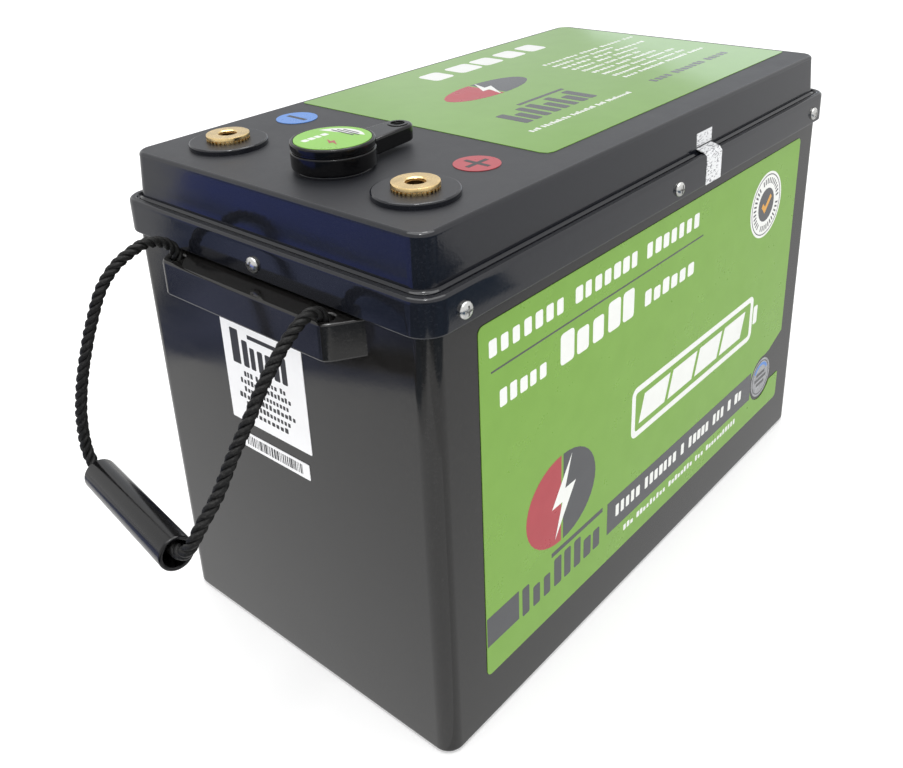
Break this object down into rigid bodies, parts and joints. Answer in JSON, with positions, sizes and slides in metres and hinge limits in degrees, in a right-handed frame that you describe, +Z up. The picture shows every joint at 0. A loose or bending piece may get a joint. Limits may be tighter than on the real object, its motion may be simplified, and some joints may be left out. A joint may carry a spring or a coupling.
{
  "type": "deep cycle battery",
  "caption": "Deep cycle battery in a moulded case with a screwed lid, threaded brass terminals, a lift-off magnetic switch key and a twisted rope handle with a tube grip.",
  "frame": {"origin": "middle of the base, on the surface the battery stands on", "axes": "+X along the length, away from the terminal end; -Y out of the labelled side; +Z up"},
  "size_m": [0.4366, 0.1924, 0.2531],
  "materials": {
    "case_plastic": "moulded ABS, polished, dark",
    "lid_plastic": "moulded ABS, polished, blue-black",
    "gasket_rubber": "soft foam rubber",
    "zinc_steel": "bright zinc",
    "terminal_brass": "turned brass",
    "disc_red": "printed disc",
    "disc_blue": "printed disc",
    "key_plastic": "moulded, glossy black",
    "magnet_nickel": "nickel plating",
    "label_green": "printed vinyl",
    "label_white": "white sticker",
    "rope_fibre": "twisted black polypropylene",
    "grip_plastic": "glossy black tube",
    "board_green": "solder-masked board",
    "wire_jacket": "flexible jacket",
    "cell_film": "blue heat-shrink film over an aluminium can",
    "aluminium_bare": "bare, machined",
    "copper_bar": "bare copper bar",
    "fibre_sheet": "glass-fibre sheet",
    "foam_rubber": "closed-cell foam",
    "heater_film": "amber polyimide film",
    "chip_black": "moulded chip",
    "radio_blue": "small board with a can",
    "nylon_natural": "natural nylon"
  },
  "bodies": {
    "root": {"case_tub": "case_plastic", "ledge_near": "case_plastic", "ledge_far": "case_plastic", "lid": "lid_plastic", "lid_gasket": "gasket_rubber", "lid_screws": "zinc_steel", "terminal_pos": "terminal_brass", "terminal_neg": "terminal_brass", "terminal_bolts": "zinc_steel", "polarity_disc_pos": "disc_red", "polarity_disc_neg": "disc_blue", "switch_seat": "key_plastic", "switch_sensor": "board_green", "switch_lead": "wire_jacket", "side_label": "label_green", "top_label": "label_green", "end_sticker": "label_white", "barcode_strip": "label_white", "seal_sticker": "label_white", "rope_stubs": "rope_fibre", "rope_stops": "zinc_steel", "cell_1": "cell_film", "cell_2": "cell_film", "cell_3": "cell_film", "cell_4": "cell_film", "cell_poles": "aluminium_bare", "cell_studs": "zinc_steel", "series_bars": "copper_bar", "stud_nuts": "zinc_steel", "cell_spacers": "fibre_sheet", "end_plate_left": "aluminium_bare", "end_plate_right": "aluminium_bare", "foam_block_left": "foam_rubber", "foam_block_right": "foam_rubber", "pack_bands": "zinc_steel", "base_pad": "foam_rubber", "heating_film": "heater_film", "cell_tray": "fibre_sheet", "bms_board": "board_green", "bms_standoffs": "nylon_natural", "bms_mosfets": "chip_black", "bms_heatsink": "aluminium_bare", "bms_posts": "copper_bar", "radio_module": "radio_blue", "balance_plug": "nylon_natural", "balance_ribbon": "wire_jacket", "temperature_sensor": "nylon_natural", "lead_positive": "copper_bar", "lead_negative": "copper_bar", "lead_pack": "copper_bar"},
    "handle": {"handle_rope": "rope_fibre"},
    "grip": {"handle_grip": "grip_plastic"},
    "key": {"key_body": "key_plastic", "key_cap": "key_plastic", "key_magnet": "magnet_nickel", "key_label": "label_green"}
  },
  "joints": [
    {"name": "handle_swing", "type": "hinge", "parent": "root", "child": "handle", "pos_m": [-0.1768, 0, 0.20475], "axis": [0, 1, 0], "range_deg": [0, 55]},
    {"name": "grip_spin", "type": "hinge", "parent": "handle", "child": "grip", "pos_m": [-0.2402, 0.00075, 0.1306], "axis": [-0.1815, -0.978, 0.1023], "continuous": true},
    {"name": "key_lift", "type": "slide", "parent": "root", "child": "key", "axis": [0, 0, 1], "range_m": [0, 0.04]}
  ]
}
